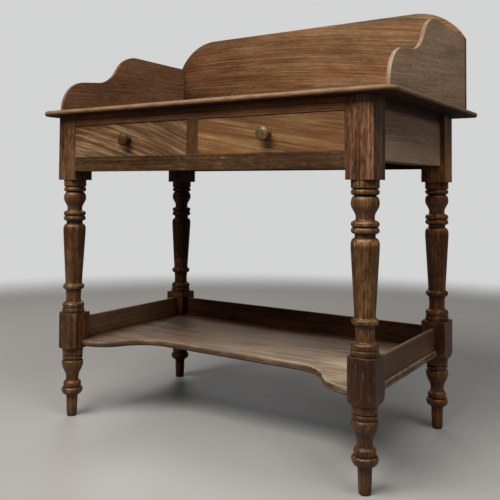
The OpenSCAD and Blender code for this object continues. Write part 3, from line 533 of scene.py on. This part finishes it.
# The low shelf. One wide mahogany board with a hollowed front edge. Its pale grey-tan colour paints
# the sheen of light reflected from it, and it is darker to the back left and near the rails with
# painted shade. Three thin rails stand on its sides and back, held by screws from underneath.
shelf_tones = [(0.050, 0.030, 0.018), (0.232, 0.160, 0.102), (0.465, 0.362, 0.258)]
side_rails = {
    "shelf_rail_left": (75.0, [(0.050, 0.023, 0.012), (0.160, 0.088, 0.050), (0.290, 0.180, 0.110)]),
    "shelf_rail_right": (76.9, [(0.027, 0.010, 0.0035), (0.076, 0.033, 0.013), (0.145, 0.075, 0.034)])}
back_rail_tones = [(0.007, 0.0020, 0.0012), (0.036, 0.0118, 0.0055), (0.096, 0.034, 0.020)]
dress("shelf", mahogany(
    "shelf_painted_sheen", "x", 71.0, shelf_tones, pith=(0.05, 0.12), lean=0.02, lined=0.8, mottled=0.12,
    contrast=1.45, blush=0.3, scuffed=0.0, edge_rub_and_gap_shade=0.3, edge_rub_and_light_colour=(0.044, 0.023, 0.012), rim=(2, 1.3),
    shade_towards=((0.6, -0.8, 0.0), -0.10, 0.30, (0.41, 0.34, 0.28)), shade_near_parts=(0.85, 0.14), below=(0.0, 0.92),
    sheen=0.34, gloss=0.32))
for rail, (seed, tones) in side_rails.items():
    dress(rail, mahogany("faded_" + rail, "y", seed, tones, contrast=1.3, edge_rub_and_gap_shade=0.6, edge_rub_and_light_colour=(0.16, 0.10, 0.065),
                         rim=(0, 0.5), rim_reach=(1.0, 1.1, 0.1)))
dress("shelf_rail_back", mahogany("dark_back_rail", "x", 79.0, back_rail_tones, contrast=1.4, edge_rub_and_gap_shade=0.3,
                                  edge_rub_and_light_colour=(0.09, 0.045, 0.025), sheen=0.40))


# The screws. Countersunk wood screws of dull steel with one slot across the head, driven upwards
# from underneath. They are turned the way that the last twist of the driver left them.
screw_steel = Finish(bpy.data.materials.new("old_screw_steel"))
screw_steel.shader.inputs["Metallic"].default_value = 1.0
tarnish = screw_steel.node("ShaderNodeTexNoise", {}, {"Scale": 700.0, "Detail": 2.0})
rusty, bare = (0.030, 0.018, 0.012), (0.10, 0.085, 0.07)
screw_steel.fill(screw_steel.shader.inputs["Base Color"], screw_steel.node(
    "ShaderNodeValToRGB", {"stops": [(0.35, rusty), (0.65, bare)]}, {0: tarnish}))
screw_steel.fill(screw_steel.shader.inputs["Roughness"], 0.35 + tarnish * 0.35 + 0.15)
slot_half, slot_depth, arc_steps = 0.00045, 0.0008, 12
first_twist, next_twist = 0.4, 2.4


def slotted_screw(shape, centre, head_z, tip_z, head_r, twist):
    """Adds one screw to shape: a slotted face at head_z, a cone, a shank and a point at tip_z."""
    def corner(radius, angle, height):
        return shape.verts.new((centre[0] + radius * math.cos(angle + twist),
                                centre[1] + radius * math.sin(angle + twist), height))

    shank_r = head_r / 2
    half_gap = math.asin(slot_half / head_r)
    floor_r = head_r - slot_depth
    floor_gap = math.asin(slot_half / floor_r)
    halves, outline = [], []
    half_turn = math.pi - 2 * half_gap
    for start in (0.0, math.pi):
        angles = [start + half_gap + half_turn * step / arc_steps for step in range(arc_steps + 1)]
        arc = [(angle, corner(head_r, angle, head_z)) for angle in angles]
        halves.append([vert for angle, vert in arc])
        outline += arc
        for angle in (start + math.pi - floor_gap, start + math.pi + floor_gap):
            outline.append((angle, corner(floor_r, angle, head_z + slot_depth)))
    for half in halves:
        shape.faces.new(half)
    edge = [vert for angle, vert in outline]
    first, second = edge[arc_steps + 1], edge[arc_steps + 2]
    third, fourth = edge[-2], edge[-1]
    shape.faces.new((first, second, third, fourth))
    shape.faces.new((halves[0][0], halves[0][-1], first, fourth))
    shape.faces.new((halves[1][0], halves[1][-1], third, second))
    narrowing = ((shank_r, head_z + head_r - shank_r), (shank_r, tip_z - 2.5 * shank_r),
                 (0.25 * shank_r, tip_z))
    rings = [edge] + [[corner(radius, angle, height) for angle, vert in outline]
                      for radius, height in narrowing]
    for ring, following in zip(rings, rings[1:]):
        for step in range(len(ring)):
            after = (step + 1) % len(ring)
            shape.faces.new((ring[step], ring[after], following[after], following[step]))
    shape.faces.new(rings[-1])


for group in ("top_screws", "gallery_screws", "shelf_screws"):
    plain = bmesh.new()
    plain.from_mesh(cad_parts[group].data)
    bmesh.ops.remove_doubles(plain, verts=plain.verts, dist=1e-6)
    waiting = set(plain.verts)
    screws = []
    while waiting:
        screw, reached = set(), [next(iter(waiting))]
        while reached:
            vert = reached.pop()
            if vert in waiting:
                waiting.discard(vert)
                screw.add(vert)
                reached += [link.other_vert(vert) for link in vert.link_edges]
        low_x, low_y, low_z = [min(vert.co[axis] for vert in screw) for axis in range(3)]
        high_x, high_y, high_z = [max(vert.co[axis] for vert in screw) for axis in range(3)]
        screws.append(((low_x + high_x) / 2, (low_y + high_y) / 2, low_z, high_z, (high_x - low_x) / 2))
    shape = bmesh.new()
    for count, (x, y, head_z, tip_z, head_r) in enumerate(sorted(screws)):
        slotted_screw(shape, (x, y), head_z, tip_z, head_r, first_twist + next_twist * count)
    bmesh.ops.recalc_face_normals(shape, faces=shape.faces)
    screw_mesh = bpy.data.meshes.new("slotted_" + group)
    shape.to_mesh(screw_mesh)
    shape.free()
    plain.free()
    slotted = bpy.data.objects.new("slotted_" + group, screw_mesh)
    scene.collection.objects.link(slotted)
    screw_mesh.materials.append(screw_steel.owner)
    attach(slotted, "frame")
    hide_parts(group)


# The drawers. Each has a boldly figured mahogany front with a turned knob, and pine sides, back
# and bottom, dovetailed at the front corners. The grain of the left front slopes more, and the
# left knob is darker.
fronts = {
    "left": {
        "seed": 81.0,
        "tones": [(0.030, 0.0118, 0.0047), (0.089, 0.045, 0.0200), (0.252, 0.162, 0.090)],
        "grain": {"slope": -0.44, "curl": 0.40, "stripe": 0.75, "band": 0.011, "contrast": 1.4},
        "knob": {"tones": [(0.009, 0.0045, 0.001), (0.031, 0.017, 0.004), (0.070, 0.042, 0.012)],
                 "groove_dust_and_shade": 1.0, "gloss": 0.16}},
    "right": {
        "seed": 85.0,
        "tones": [(0.055, 0.0225, 0.0090), (0.131, 0.064, 0.0245), (0.255, 0.149, 0.064)],
        "grain": {"slope": -0.17, "curl": 0.0, "stripe": 0.50, "band": 0.012, "contrast": 1.3},
        "knob": {"tones": [(0.018, 0.008, 0.0027), (0.078, 0.038, 0.0150), (0.180, 0.104, 0.050)],
                 "groove_dust_and_shade": 0.4, "gloss": 0.50}}}
for side, look in fronts.items():
    seed = look["seed"]
    # The front's edges take the gap colour: painted shade in the gaps round the drawer.
    dress(side + "_drawer_front", mahogany(
        side + "_figured_front", "x", seed, look["tones"], **look["grain"], pith=(0.10, 0.02), lean=0.10,
        mottled=0.12, scuffed=0.0, edge_rub_and_gap_shade=2.5, edge_rub_and_light_colour=gap_shade, sheen=0.42))
    dress(side + "_drawer_knob", mahogany(
        side + "_turned_knob", "y", seed + 2.0, **look["knob"], edge_rub_and_gap_shade=0.4, arris=0.0022, below=(0.20, 0.85),
        sheen=0.32))
    for part, part_seed in (("side_l", seed + 3.0), ("side_r", seed + 3.7)):
        dress(side + "_drawer_" + part, softwood(side + "_pine_" + part, "y", part_seed))
    dress(side + "_drawer_back", softwood(side + "_pine_back", "x", seed + 4.0))
    dress(side + "_drawer_bottom", softwood(side + "_pine_bottom", "x", seed + 5.0))
